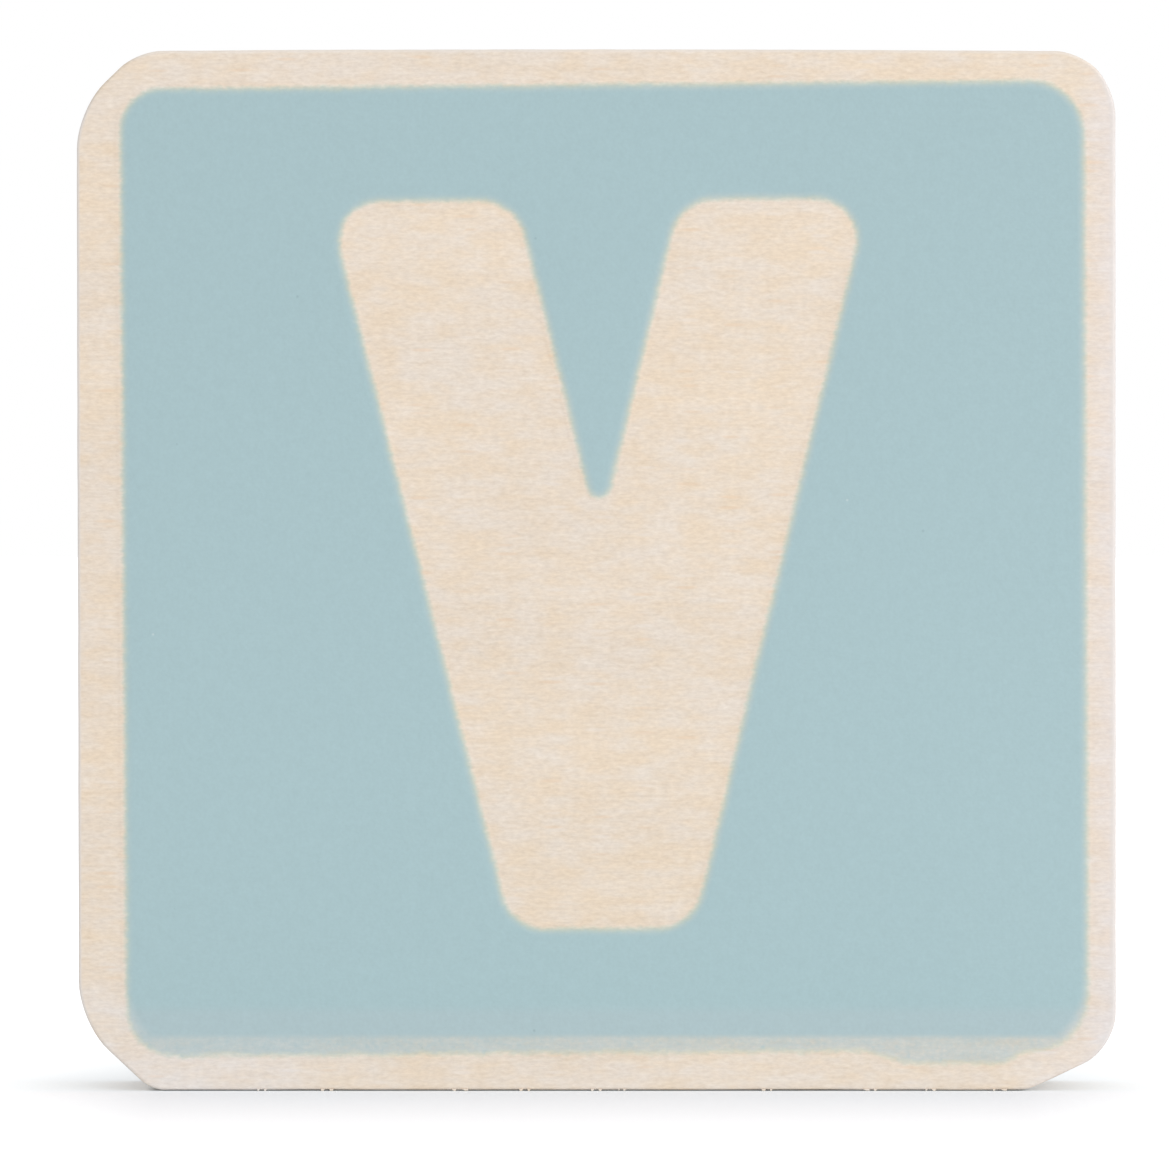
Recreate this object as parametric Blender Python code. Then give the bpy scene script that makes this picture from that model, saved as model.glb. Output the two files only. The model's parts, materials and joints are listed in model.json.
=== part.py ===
"""A square plywood letter tile from a wooden letter-train set, standing on its bottom edge.

Units are metres, +Z is up, +X is to the viewer's right, and the printed face looks along -Y.
The origin is on the surface that the tile stands on, under the middle of its bounding box.
The tile is built as the real one is: nine crossed plies, the glue film in each joint between
them, and two coats of ink screened onto the front veneer around a bare letter.
"""

import math
from collections import namedtuple

import bmesh
import bpy

MM = 0.001

# An outline corner: where its two sides would meet, and the radius that rounds it.
Corner = namedtuple("Corner", "x z radius")

# A tile corner cut off at a slant: how far up the side and across the end the cut runs,
# and the radii that round it into the side and into the end.
SlantCut = namedtuple("SlantCut", "up across side_radius end_radius")

# Board
TILE_WIDTH = 70.0 * MM
TILE_HEIGHT = 70.3 * MM
LEFT_SIDE_LEAN = 0.2 * MM
BOARD_THICKNESS = 12.0 * MM
GLUE_SPACE = 0.1 * MM
GLUE_FILM = 0.06 * MM
GLUE_SET_BACK = 0.1 * MM
ARRIS_EASE = 0.4 * MM
ARRIS_SEGMENTS = 3

# The four hand-sanded corners, each a little different
TOP_LEFT = SlantCut(4.0 * MM, 4.1 * MM, 6.2 * MM, 4.0 * MM)
TOP_RIGHT = SlantCut(2.5 * MM, 2.5 * MM, 4.4 * MM, 4.0 * MM)
BOTTOM_LEFT = SlantCut(4.6 * MM, 4.9 * MM, 6.3 * MM, 2.2 * MM)
BOTTOM_RIGHT = SlantCut(3.0 * MM, 6.2 * MM, 3.5 * MM, 0.8 * MM)

# Plies from the printed face to the back, as (name, colour)
PLIES = (
    ("front_face_veneer", (233, 218, 201)),
    ("front_cross_band", (214, 190, 161)),
    ("front_inner_ply", (226, 206, 180)),
    ("front_inner_band", (214, 190, 161)),
    ("core_ply", (226, 206, 180)),
    ("back_inner_band", (214, 190, 161)),
    ("back_inner_ply", (226, 206, 180)),
    ("back_cross_band", (214, 190, 161)),
    ("back_face_veneer", (231, 215, 196)),
)

# Printed panel, set on the tile a little askew
INK_FILM = 0.05 * MM
INK_GAP = 0.02 * MM
COAT_STEP = 0.1 * MM
PANEL_WIDTH = 64.9 * MM
PANEL_CENTRE_X = 0.6 * MM
PANEL_TOP = 67.9 * MM
FIRST_COAT_BOTTOM = 2.65 * MM
SECOND_COAT_BOTTOM = 3.7 * MM
PANEL_TURN = math.radians(0.37)
PANEL_LEFT_RADIUS = 2.4 * MM
PANEL_TOP_RIGHT_RADIUS = 3.2 * MM
PANEL_BOTTOM_RIGHT_RADIUS = 2.7 * MM

# Where the first coat ran under the screen's lower edge
SMEAR_START_X = 15.5 * MM
SMEAR_END_X = 29.6 * MM
SMEAR_LEFT_RUN = 7.5 * MM
SMEAR_RIGHT_RUN = 3.1 * MM
SMEAR_DEPTH = 0.92 * MM
SMEAR_RADIUS = 3.0 * MM

# Plain block letter left bare in the panel
LETTER_CENTRE_X = 0.35 * MM
LETTER_BOTTOM = 10.9 * MM
LETTER_HEIGHT = 49.3 * MM
LETTER_WIDTH = 36.6 * MM
LETTER_STROKE = 12.8 * MM
LETTER_FOOT = 12.4 * MM
LETTER_ROUNDING = 3.0 * MM
LETTER_CROTCH_ROUNDING = 0.5 * MM

ARC_STEP = math.radians(9.0)
MERGE_DISTANCE = 0.001 * MM

WOOD_ROUGHNESS = 0.62
GLUE_ROUGHNESS = 0.45
INK_ROUGHNESS = 0.55
GLUE_COLOUR = (190, 156, 112)
FIRST_COAT_COLOUR = (198, 206, 201)
SECOND_COAT_COLOUR = (172, 197, 202)

PLY_COUNT = len(PLIES)
PLY_THICKNESS = (BOARD_THICKNESS - (PLY_COUNT - 1) * GLUE_SPACE) / PLY_COUNT
INK_STACK = 2 * (INK_GAP + INK_FILM)
BOARD_FRONT_Y = INK_STACK - (BOARD_THICKNESS + INK_STACK) / 2


def clear_scene():
    """Remove every object that the startup file holds."""
    for old in list(bpy.data.objects):
        bpy.data.objects.remove(old, do_unlink=True)


def new_collection(name):
    """Make a collection in the scene."""
    collection = bpy.data.collections.new(name)
    bpy.context.scene.collection.children.link(collection)
    return collection


def linear(value):
    """Turn one 0 to 255 display value into a linear colour value."""
    share = value / 255
    if share <= 0.04045:
        return share / 12.92
    return ((share + 0.055) / 1.055) ** 2.4


def make_finish(name, colour, roughness):
    """Make a Principled material of one display colour."""
    material = bpy.data.materials.new(name)
    material.use_nodes = True
    shader = material.node_tree.nodes["Principled BSDF"]
    shader.inputs["Base Color"].default_value = (*[linear(value) for value in colour], 1.0)
    shader.inputs["Roughness"].default_value = roughness
    shader.inputs["Metallic"].default_value = 0.0
    return material


def directions_at(corners, index):
    """Give the unit directions of the side that reaches a corner and of the side that leaves it."""
    here = corners[index]
    before = corners[index - 1]
    after = corners[(index + 1) % len(corners)]
    into_length = math.hypot(here.x - before.x, here.z - before.z)
    out_length = math.hypot(after.x - here.x, after.z - here.z)
    into = ((here.x - before.x) / into_length, (here.z - before.z) / into_length)
    out = ((after.x - here.x) / out_length, (after.z - here.z) / out_length)
    return into, out


def turn_between(into, out):
    """Give the signed angle from one direction to the next, positive to the left."""
    cross = into[0] * out[1] - into[1] * out[0]
    dot = into[0] * out[0] + into[1] * out[1]
    return math.atan2(cross, dot)


def grown(corners, distance):
    """Move every side of an outline outwards by a distance, or inwards if it is negative.

    The outline runs anticlockwise as seen from the front, so a left turn is an outer corner.
    """
    moved = []
    for index, here in enumerate(corners):
        into, out = directions_at(corners, index)
        turn = turn_between(into, out)
        reach = distance / (1 + into[0] * out[0] + into[1] * out[1])
        x = here.x + reach * (into[1] + out[1])
        z = here.z - reach * (into[0] + out[0])
        radius = here.radius + math.copysign(distance, turn * distance)
        moved.append(Corner(x, z, max(radius, MERGE_DISTANCE)))
    return moved


def turned(corners, angle, centre_x, centre_z):
    """Turn an outline about a point, anticlockwise as seen from the front."""
    cosine = math.cos(angle)
    sine = math.sin(angle)
    moved = []
    for corner in corners:
        across = corner.x - centre_x
        up = corner.z - centre_z
        x = centre_x + across * cosine - up * sine
        z = centre_z + across * sine + up * cosine
        moved.append(Corner(x, z, corner.radius))
    return moved


def rounded_points(corners):
    """Give the points of an outline, with an arc of its own radius at each corner."""
    points = []
    for index, here in enumerate(corners):
        into, out = directions_at(corners, index)
        turn = turn_between(into, out)
        side = math.copysign(1.0, turn)
        run = here.radius * math.tan(abs(turn) / 2)
        start_x = here.x - into[0] * run
        start_z = here.z - into[1] * run
        centre_x = start_x - side * into[1] * here.radius
        centre_z = start_z + side * into[0] * here.radius
        steps = max(1, math.ceil(abs(turn) / ARC_STEP))
        for step in range(steps + 1):
            angle = turn * step / steps
            arm_x = start_x - centre_x
            arm_z = start_z - centre_z
            x = centre_x + arm_x * math.cos(angle) - arm_z * math.sin(angle)
            z = centre_z + arm_x * math.sin(angle) + arm_z * math.cos(angle)
            points.append((x, z))
    return points


def tile_outline():
    """Give the tile's outline: four straight sides and four slant-cut, rounded corners."""

    def left_side(z):
        return -TILE_WIDTH / 2 + LEFT_SIDE_LEAN * (1 - z / TILE_HEIGHT)

    right = TILE_WIDTH / 2
    top = TILE_HEIGHT
    left_low = BOTTOM_LEFT.up
    left_high = top - TOP_LEFT.up
    return [
        Corner(left_side(0) + BOTTOM_LEFT.across, 0, BOTTOM_LEFT.end_radius),
        Corner(right - BOTTOM_RIGHT.across, 0, BOTTOM_RIGHT.end_radius),
        Corner(right, BOTTOM_RIGHT.up, BOTTOM_RIGHT.side_radius),
        Corner(right, top - TOP_RIGHT.up, TOP_RIGHT.side_radius),
        Corner(right - TOP_RIGHT.across, top, TOP_RIGHT.end_radius),
        Corner(left_side(top) + TOP_LEFT.across, top, TOP_LEFT.end_radius),
        Corner(left_side(left_high), left_high, TOP_LEFT.side_radius),
        Corner(left_side(left_low), left_low, BOTTOM_LEFT.side_radius),
    ]


def on_panel(corners):
    """Set an outline that is drawn square to the tile askew, as the printed panel is."""
    return turned(corners, PANEL_TURN, PANEL_CENTRE_X, TILE_HEIGHT / 2)


def panel_outline(bottom, bottom_run=()):
    """Give the panel's outline down to a bottom edge, with any further corners along it."""
    left = PANEL_CENTRE_X - PANEL_WIDTH / 2
    right = PANEL_CENTRE_X + PANEL_WIDTH / 2
    return [
        Corner(left, bottom, PANEL_LEFT_RADIUS),
        *bottom_run,
        Corner(right, bottom, PANEL_BOTTOM_RIGHT_RADIUS),
        Corner(right, PANEL_TOP, PANEL_TOP_RIGHT_RADIUS),
        Corner(left, PANEL_TOP, PANEL_LEFT_RADIUS),
    ]


def first_coat_outline():
    """Give the first coat's outline, with the smear that ran below its lower edge."""
    low = FIRST_COAT_BOTTOM - SMEAR_DEPTH
    smear = [
        Corner(SMEAR_START_X, FIRST_COAT_BOTTOM, SMEAR_RADIUS),
        Corner(SMEAR_START_X + SMEAR_LEFT_RUN, low, SMEAR_RADIUS),
        Corner(SMEAR_END_X - SMEAR_RIGHT_RUN, low, SMEAR_RADIUS),
        Corner(SMEAR_END_X, FIRST_COAT_BOTTOM, SMEAR_RADIUS),
    ]
    return on_panel(panel_outline(FIRST_COAT_BOTTOM, smear))


def second_coat_outline():
    """Give the second coat's outline, which stops short of the first coat all round."""
    return on_panel(grown(panel_outline(SECOND_COAT_BOTTOM), -COAT_STEP))


def letter_outline():
    """Give a plain V: two straight strokes of one width, with every corner rounded alike."""
    half = LETTER_WIDTH / 2
    top = LETTER_BOTTOM + LETTER_HEIGHT
    slope = (half - LETTER_FOOT / 2) / LETTER_HEIGHT
    inner = half - LETTER_STROKE
    crotch = top - inner / slope
    foot = LETTER_FOOT / 2
    rounding = LETTER_ROUNDING
    corners = [
        Corner(-foot, LETTER_BOTTOM, rounding),
        Corner(foot, LETTER_BOTTOM, rounding),
        Corner(half, top, rounding),
        Corner(inner, top, rounding),
        Corner(0, crotch, LETTER_CROTCH_ROUNDING),
        Corner(-inner, top, rounding),
        Corner(-half, top, rounding),
    ]
    return on_panel([corner._replace(x=corner.x + LETTER_CENTRE_X) for corner in corners])


def add_layer(name, outlines, front_y, thickness, finish, collection, parent):
    """Make one flat layer that stands upright, with its front at front_y.

    The first outline bounds the layer, and any further one is an opening through it.
    """
    curve = bpy.data.curves.new(name, "CURVE")
    curve.dimensions = "2D"
    curve.fill_mode = "BOTH"
    curve.extrude = thickness / 2
    for corners in outlines:
        points = rounded_points(corners)
        spline = curve.splines.new("POLY")
        spline.points.add(len(points) - 1)
        for point, (x, z) in zip(spline.points, points):
            point.co = (x, z, 0.0, 1.0)
        spline.use_cyclic_u = True
    curve.materials.append(finish)
    layer = bpy.data.objects.new(name, curve)
    layer.rotation_euler = (math.radians(90), 0.0, 0.0)
    layer.location = (0.0, front_y + thickness / 2, 0.0)
    layer.parent = parent
    collection.objects.link(layer)
    return layer


def ease_arris(layer, toward_viewer):
    """Swap a layer for a mesh whose outer rim is rounded over, on the front or on the back."""
    name = layer.name
    half = layer.data.extrude
    bpy.context.view_layer.update()
    graph = bpy.context.evaluated_depsgraph_get()
    mesh = bpy.data.meshes.new_from_object(layer.evaluated_get(graph))
    rim_z = half if toward_viewer else -half
    shape = bmesh.new()
    shape.from_mesh(mesh)
    bmesh.ops.remove_doubles(shape, verts=shape.verts, dist=MERGE_DISTANCE)
    bmesh.ops.dissolve_limit(
        shape, angle_limit=math.radians(0.1), verts=shape.verts, edges=shape.edges
    )
    rim = [
        edge
        for edge in shape.edges
        if all(abs(vert.co.z - rim_z) < MERGE_DISTANCE for vert in edge.verts)
    ]
    bmesh.ops.bevel(
        shape, geom=rim, offset=ARRIS_EASE, segments=ARRIS_SEGMENTS, profile=0.5, affect="EDGES"
    )
    bmesh.ops.recalc_face_normals(shape, faces=shape.faces)
    shape.to_mesh(mesh)
    shape.free()
    eased = bpy.data.objects.new(name, mesh)
    eased.matrix_basis = layer.matrix_basis.copy()
    eased.parent = layer.parent
    layer.users_collection[0].objects.link(eased)
    bpy.data.objects.remove(layer, do_unlink=True)
    eased.name = name
    return eased


def build_plies(collection, parent):
    """Build the plies, with the outer rim of both face veneers eased."""
    for index, (name, colour) in enumerate(PLIES):
        front_y = BOARD_FRONT_Y + index * (PLY_THICKNESS + GLUE_SPACE)
        finish = make_finish(name, colour, WOOD_ROUGHNESS)
        ply = add_layer(
            name, [tile_outline()], front_y, PLY_THICKNESS, finish, collection, parent
        )
        if index == 0:
            ease_arris(ply, toward_viewer=True)
        if index == PLY_COUNT - 1:
            ease_arris(ply, toward_viewer=False)


def build_glue_lines(collection, parent):
    """Build the glue film in each joint between two plies."""
    outline = grown(tile_outline(), -GLUE_SET_BACK)
    for joint in range(1, PLY_COUNT):
        ply_back = BOARD_FRONT_Y + joint * PLY_THICKNESS + (joint - 1) * GLUE_SPACE
        front_y = ply_back + (GLUE_SPACE - GLUE_FILM) / 2
        name = f"glue_line_{joint}"
        finish = make_finish(name, GLUE_COLOUR, GLUE_ROUGHNESS)
        add_layer(name, [outline], front_y, GLUE_FILM, finish, collection, parent)


def build_ink(collection, parent):
    """Build the two coats of ink, each open where the letter is left bare."""
    letter = letter_outline()
    first_front = BOARD_FRONT_Y - INK_GAP - INK_FILM
    second_front = first_front - INK_GAP - INK_FILM
    first_finish = make_finish("ink_first_coat", FIRST_COAT_COLOUR, INK_ROUGHNESS)
    second_finish = make_finish("ink_second_coat", SECOND_COAT_COLOUR, INK_ROUGHNESS)
    add_layer(
        "ink_first_coat", [first_coat_outline(), letter],
        first_front, INK_FILM, first_finish, collection, parent,
    )
    add_layer(
        "ink_second_coat", [second_coat_outline(), grown(letter, COAT_STEP)],
        second_front, INK_FILM, second_finish, collection, parent,
    )


def main():
    """Build the whole tile."""
    clear_scene()
    collection = new_collection("letter_tile")
    stand = bpy.data.objects.new("letter_tile_frame", None)
    collection.objects.link(stand)
    build_plies(collection, stand)
    build_glue_lines(collection, stand)
    build_ink(collection, stand)


main()
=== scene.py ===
"""Looks of a square plywood letter tile that stands on its bottom edge.

Units are metres, +Z is up, +X is to the viewer's right, and the printed face looks along -Y.
The tile is dressed as it is made: nine sanded plies with the glue film in each joint between
them, and two coats of screened ink that leave a plain block letter bare.
"""

from __future__ import annotations

import json
import logging
import math
from collections.abc import Callable, Iterator
from contextlib import contextmanager
from dataclasses import dataclass, field
from enum import Enum
from itertools import product

import bmesh
import bpy
import numpy as np
from mathutils import Matrix, Vector, noise

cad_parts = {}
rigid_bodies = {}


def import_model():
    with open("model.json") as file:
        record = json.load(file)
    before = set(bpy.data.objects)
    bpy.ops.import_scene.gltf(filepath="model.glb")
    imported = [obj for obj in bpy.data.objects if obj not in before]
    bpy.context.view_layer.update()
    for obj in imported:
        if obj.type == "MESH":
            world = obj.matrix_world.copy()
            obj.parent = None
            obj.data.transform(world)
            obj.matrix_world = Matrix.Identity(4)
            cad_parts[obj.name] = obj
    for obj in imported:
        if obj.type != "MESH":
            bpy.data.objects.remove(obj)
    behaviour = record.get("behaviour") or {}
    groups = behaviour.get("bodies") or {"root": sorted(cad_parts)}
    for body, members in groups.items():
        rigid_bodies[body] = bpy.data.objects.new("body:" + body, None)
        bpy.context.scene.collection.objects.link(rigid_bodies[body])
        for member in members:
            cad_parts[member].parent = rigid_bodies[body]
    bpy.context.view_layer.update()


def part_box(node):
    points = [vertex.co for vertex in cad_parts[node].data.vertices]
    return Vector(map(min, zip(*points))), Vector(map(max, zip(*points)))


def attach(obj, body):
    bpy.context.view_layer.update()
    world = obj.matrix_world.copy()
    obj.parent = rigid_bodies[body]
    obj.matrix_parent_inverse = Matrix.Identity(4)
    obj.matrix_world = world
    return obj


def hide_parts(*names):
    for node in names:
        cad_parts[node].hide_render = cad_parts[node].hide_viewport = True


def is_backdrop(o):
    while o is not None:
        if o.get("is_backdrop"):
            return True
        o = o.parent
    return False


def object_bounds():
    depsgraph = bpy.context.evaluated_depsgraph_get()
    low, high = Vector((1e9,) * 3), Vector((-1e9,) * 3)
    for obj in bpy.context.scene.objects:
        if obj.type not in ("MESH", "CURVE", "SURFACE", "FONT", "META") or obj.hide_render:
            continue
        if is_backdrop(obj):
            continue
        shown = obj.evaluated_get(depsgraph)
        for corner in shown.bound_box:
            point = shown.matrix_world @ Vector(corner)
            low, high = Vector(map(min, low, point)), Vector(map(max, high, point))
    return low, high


log = logging.getLogger("letter_tile")

MM = 0.001
TINY = 0.001 * MM
NEAR = 10 * TINY
QUARTER_TURN = math.radians(90)
ARC_STEP = math.radians(5)
SMOOTH_ANGLE = math.radians(30)
FLAT_ANGLE = math.radians(0.5)
ROUND_PROFILE = 0.5
QUAD = 4
FACING = 0.9
WHITE = 255
MIDDLE = 0.5
NEXT_SEED = 1.0
WAVE_SHIFT = (1.0, 2.3, 3.7)
NOISE_SHIFT = (1.0, 1.7, 2.9)

Colour = tuple[int, int, int]
Lengths = tuple[float, float, float]
Span = tuple[float, float]
Socket = bpy.types.NodeSocket
Outputs = bpy.types.bpy_prop_collection
Material = bpy.types.Material
Piece = bpy.types.Object


class Element(Enum):
    """Kinds of mesh element that can be picked in edit mode."""

    VERTS = "VERT"
    EDGES = "EDGE"
    FACES = "FACE"


class Grain(Enum):
    """Which way the fibres of a ply run: the turn about Y that lays them along X."""

    ACROSS = 0.0
    UPRIGHT = QUARTER_TURN


class Coat(Enum):
    """The two passes of the screen."""

    FIRST = "first"
    SECOND = "second"


def linear(colour: Colour) -> tuple[float, float, float, float]:
    """Turn a display colour into Blender's linear colour.

    Args:
        colour: Red, green and blue from 0 to 255.

    Returns:
        The linear colour with full alpha.
    """
    shares = [value / WHITE for value in colour]
    return (*[s / 12.92 if s <= 0.04045 else ((s + 0.055) / 1.055) ** 2.4 for s in shares], 1.0)


def only(piece: Piece | None) -> None:
    """Select one piece and nothing else, and make it active, or select nothing.

    Args:
        piece: The piece, or nothing.
    """
    for other in bpy.context.view_layer.objects:
        other.select_set(False)
    if piece:
        piece.select_set(True)
        bpy.context.view_layer.objects.active = piece


def named(name: str) -> Piece:
    """Name the active piece and its mesh, and give it.

    Args:
        name: The name of both.

    Returns:
        The active piece.
    """
    piece = bpy.context.view_layer.objects.active
    piece.name = name
    piece.data.name = name
    return piece


@contextmanager
def edit_mode(piece: Piece) -> Iterator[None]:
    """Hold one piece, and nothing else, in edit mode.

    Args:
        piece: The piece.

    Yields:
        Nothing, while the piece is in edit mode.
    """
    only(piece)
    bpy.ops.object.mode_set(mode="EDIT")
    yield
    bpy.ops.object.mode_set(mode="OBJECT")


def pick(piece: Piece, element: Element, wanted: Callable[[object], bool]) -> int:
    """Select the elements that pass a test, in edit mode.

    Args:
        piece: The piece that is in edit mode.
        element: The kind of element to select.
        wanted: The test that an element has to pass.

    Returns:
        How many elements are selected.
    """
    bpy.ops.mesh.select_mode(type=element.value)
    bpy.ops.mesh.select_all(action="DESELECT")
    shape = bmesh.from_edit_mesh(piece.data)
    chosen = [item for item in getattr(shape, element.name.lower()) if wanted(item)]
    for item in chosen:
        item.select_set(True)
    shape.select_flush_mode()
    bmesh.update_edit_mesh(piece.data)
    return len(chosen)


def start_piece(
    name: str, add: Callable[..., object], size: Vector, place: Vector, **options: object
) -> Piece:
    """Add a primitive at its size and place, with both applied to its mesh.

    Args:
        name: The piece's name.
        add: The primitive operator, which makes a shape one metre across.
        size: The primitive's size along its own X, Y and Z.
        place: Where the primitive's middle goes.
        options: What else the operator takes.

    Returns:
        The new piece, at the origin, unturned and unscaled.
    """
    only(None)
    add(size=1.0, location=place, **options)
    piece = named(name)
    piece.scale = size
    bpy.ops.object.transform_apply(location=True, rotation=True, scale=True)
    return piece


def cut_away(piece: Piece, start: Vector, end: Vector, growth: float = 0.0, keep: bool = False) -> None:
    """Cut a piece along a straight line of its outline and drop what lies to the line's right.

    Args:
        piece: The piece, in edit mode.
        start: Where the line starts, as X and Z.
        end: Where the line ends, as X and Z.
        growth: How far to the right the line is moved before the cut.
        keep: Keep both parts, with the cut between them.
    """
    along = (end - start).normalized()
    outward = Vector((along.y, -along.x))
    place = start + outward * growth
    bpy.ops.mesh.select_all(action="SELECT")
    bpy.ops.mesh.bisect(
        plane_co=(place.x, 0, place.y),
        plane_no=(outward.x, 0, outward.y),
        use_fill=not keep,
        clear_outer=not keep,
        threshold=TINY,
    )


def turns(corners: list[Vector]) -> list[float]:
    """Give the angle by which a closed outline turns at each corner.

    Args:
        corners: X and Z of the outline's corners, in order.

    Returns:
        One angle for each corner, positive to the left.
    """
    angles = []
    for index, here in enumerate(corners):
        into = here - corners[index - 1]
        out = corners[(index + 1) % len(corners)] - here
        angles.append(math.atan2(into.x * out.y - into.y * out.x, into.dot(out)))
    return angles


def round_corner(piece: Piece, corner: Vector, turn: float, radius: float) -> None:
    """Round one corner of a piece's outline into an arc.

    Args:
        piece: The piece, in edit mode: a flat face or a board of even thickness.
        corner: The corner's X and Z.
        turn: The angle by which the outline turns there.
        radius: The arc's radius.
    """

    def at_corner(vert: bmesh.types.BMVert) -> bool:
        """Tell whether a point lies on the corner."""
        return (Vector((vert.co.x, vert.co.z)) - corner).length < NEAR

    flat = pick(piece, Element.VERTS, at_corner) == 1
    if not flat:
        pick(piece, Element.EDGES, lambda edge: all(at_corner(vert) for vert in edge.verts))
    bpy.ops.mesh.bevel(
        offset=radius * math.tan(abs(turn) / 2),
        offset_type="ABSOLUTE" if flat else "OFFSET",
        affect="VERTICES" if flat else "EDGES",
        segments=max(2, math.ceil(abs(turn) / ARC_STEP)),
        profile=ROUND_PROFILE,
    )


def divide_outline(piece: Piece, longest: float) -> None:
    """Halve the long edges of an outline until none is longer than a limit.

    Args:
        piece: The piece, in edit mode.
        longest: The limit.
    """

    def too_long(edge: bmesh.types.BMEdge) -> bool:
        """Tell whether an edge follows the outline and is too long."""
        first, second = (vert.co for vert in edge.verts)
        return abs(first.y - second.y) < TINY and (first - second).length > longest

    while pick(piece, Element.EDGES, too_long):
        bpy.ops.mesh.subdivide(number_cuts=1)


def apply_modifier(piece: Piece, kind: str, **settings: object) -> None:
    """Add one modifier to a piece and apply it.

    Args:
        piece: The piece.
        kind: The kind of modifier.
        settings: The modifier's options.
    """
    only(piece)
    modifier = piece.modifiers.new(kind.lower(), kind)
    for name, value in settings.items():
        setattr(modifier, name, value)
    bpy.ops.object.modifier_apply(modifier=modifier.name)


def hand_over(piece: Piece, node: str, finish: Material) -> None:
    """Shade a finished piece smooth, dress it and let it stand for a node of the frame.

    Args:
        piece: The finished piece.
        node: The node that it replaces.
        finish: Its material.
    """
    only(piece)
    bpy.ops.object.shade_smooth_by_angle(angle=SMOOTH_ANGLE)
    piece.data.materials.clear()
    piece.data.materials.append(finish)
    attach(piece, "root")
    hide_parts(node)
    log.info("%s: %d faces", piece.name, len(piece.data.polygons))


def front_loop(piece: Piece) -> np.ndarray:
    """Give the corners of a piece's largest face.

    Args:
        piece: The piece.

    Returns:
        X and Z of each corner, one row each, anticlockwise as seen from the front.
    """
    face = max(piece.data.polygons, key=lambda each: each.area)
    loop = np.array([piece.data.vertices[index].co.xz for index in face.vertices])
    return loop if face.normal.y < 0 else loop[::-1]


def store(piece: Piece, name: str, lengths: np.ndarray) -> None:
    """Store one length for each point of a piece, in millimetres, for its material to read."""
    stored = piece.data.attributes.new(name, "FLOAT", "POINT")
    stored.data.foreach_set("value", (lengths / MM).astype(np.float32))


def ease(share: float | np.ndarray) -> float | np.ndarray:
    """Rise smoothly from 0 to 1, level at both ends."""
    return 3 * share**2 - 2 * share**3


def edge_distance(places: np.ndarray, outline: np.ndarray) -> np.ndarray:
    """Measure how far places lie from a closed outline.

    Args:
        places: X and Z of each place, one row each.
        outline: X and Z of the outline's points, in order.

    Returns:
        One distance for each place, negative inside the outline.
    """
    along = np.roll(outline, -1, axis=0) - outline
    least = np.full(len(places), np.inf)
    inside = np.zeros(len(places), bool)
    x, z = places.T
    for (start_x, start_z), (along_x, along_z) in zip(outline, along):
        share = ((x - start_x) * along_x + (z - start_z) * along_z) / (along_x**2 + along_z**2)
        share = np.clip(share, 0, 1)
        gap = np.hypot(x - start_x - share * along_x, z - start_z - share * along_z)
        least = np.minimum(least, gap)
        crosses = (start_z > z) != (start_z + along_z > z)
        if along_z:
            inside ^= crosses & (x < start_x + (z - start_z) * along_x / along_z)
    return np.where(inside, -least, least)


@dataclass(frozen=True)
class Wave:
    """Unevenness of a shape, with bumps of about one length and one height."""

    length: float
    height: float
    seed: float = 0.0

    def at(self, place: Vector, seed: float = 0.0) -> float:
        """Give the unevenness at a place, shifted by a piece's own seed."""
        shift = Vector([(self.seed + seed) * share for share in WAVE_SHIFT])
        return self.height * noise.noise(place / self.length + shift)


@dataclass(frozen=True)
class Noise:
    """A drawn pattern, with bumps of its own lengths along X, Y and Z, in millimetres."""

    lengths: Lengths
    seed: float
    roughness: float = 0.5
    detail: float = 2.0


@dataclass(frozen=True)
class Specks:
    """Scattered specks: their spacing in millimetres, and their radius as a share of it.

    The share says how many of the places hold a speck.
    """

    spacing: Lengths
    seed: float
    radius: float
    share: float
    strength: float
    shade: Colour | None = None
    core: float = 0.3


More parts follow.
